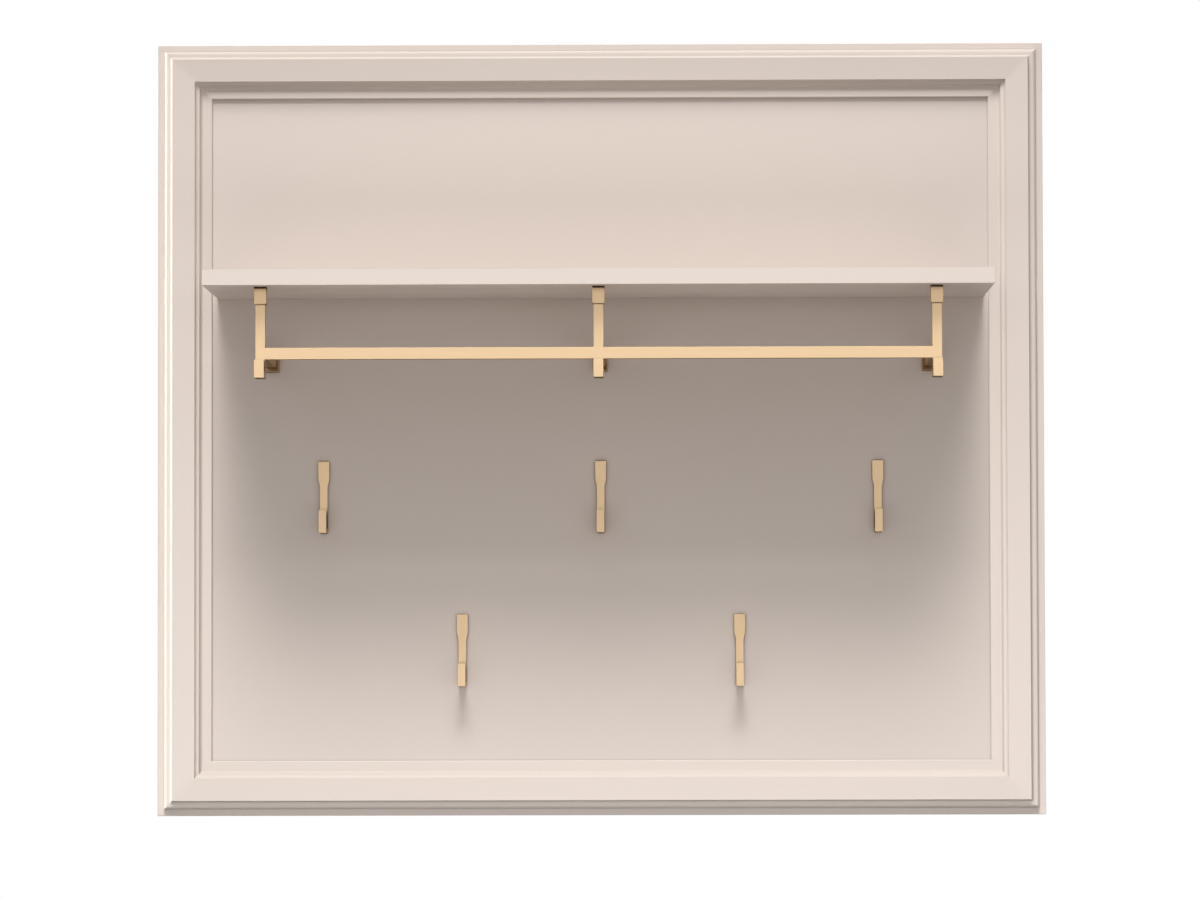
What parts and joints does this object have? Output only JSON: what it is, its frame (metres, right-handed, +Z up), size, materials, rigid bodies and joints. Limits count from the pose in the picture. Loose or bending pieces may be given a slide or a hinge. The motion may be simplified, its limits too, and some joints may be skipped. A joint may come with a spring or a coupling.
{
  "type": "wall coat rack",
  "caption": "Painted wall panel with a mitred moulded frame, a shelf, a gold hanging rail on square brackets below it, and flat gold coat hooks.",
  "frame": {"origin": "centre of the panel's back face, which lies on the wall", "axes": "+Z up, +Y into the wall, so the front faces -Y, and +X to the right seen from the front"},
  "size_m": [1.1, 0.2583, 0.958],
  "materials": {
    "paint": "satin paint on fibreboard",
    "gold": "satin champagne gold",
    "zinc": "bright zinc plate"
  },
  "bodies": {
    "root": {"arm_screw_centre": "zinc", "arm_screw_left": "zinc", "arm_screw_right": "zinc", "back_panel": "paint", "bracket_arm_centre": "gold", "bracket_arm_left": "gold", "bracket_arm_right": "gold", "bracket_post_centre": "gold", "bracket_post_left": "gold", "bracket_post_right": "gold", "frame_bottom_rail": "paint", "frame_left_stile": "paint", "frame_right_stile": "paint", "frame_top_rail": "paint", "hanger_screw_left_low": "zinc", "hanger_screw_left_top": "zinc", "hanger_screw_right_low": "zinc", "hanger_screw_right_top": "zinc", "hook_lower_left": "gold", "hook_lower_right": "gold", "hook_screw_lower_left_low": "zinc", "hook_screw_lower_left_top": "zinc", "hook_screw_lower_right_low": "zinc", "hook_screw_lower_right_top": "zinc", "hook_screw_upper_centre_low": "zinc", "hook_screw_upper_centre_top": "zinc", "hook_screw_upper_left_low": "zinc", "hook_screw_upper_left_top": "zinc", "hook_screw_upper_right_low": "zinc", "hook_screw_upper_right_top": "zinc", "hook_upper_centre": "gold", "hook_upper_left": "gold", "hook_upper_right": "gold", "keyhole_hanger_left": "zinc", "keyhole_hanger_right": "zinc", "rail_bar_left": "gold", "rail_bar_right": "gold", "shelf": "paint", "shelf_screw_1": "zinc", "shelf_screw_2": "zinc", "shelf_screw_3": "zinc", "shelf_screw_4": "zinc", "shelf_screw_5": "zinc", "shelf_socket_centre": "gold", "shelf_socket_left": "gold", "shelf_socket_right": "gold", "shelf_stud_centre": "zinc", "shelf_stud_left": "zinc", "shelf_stud_right": "zinc", "wall_socket_centre": "gold", "wall_socket_left": "gold", "wall_socket_right": "gold"}
  },
  "joints": []
}
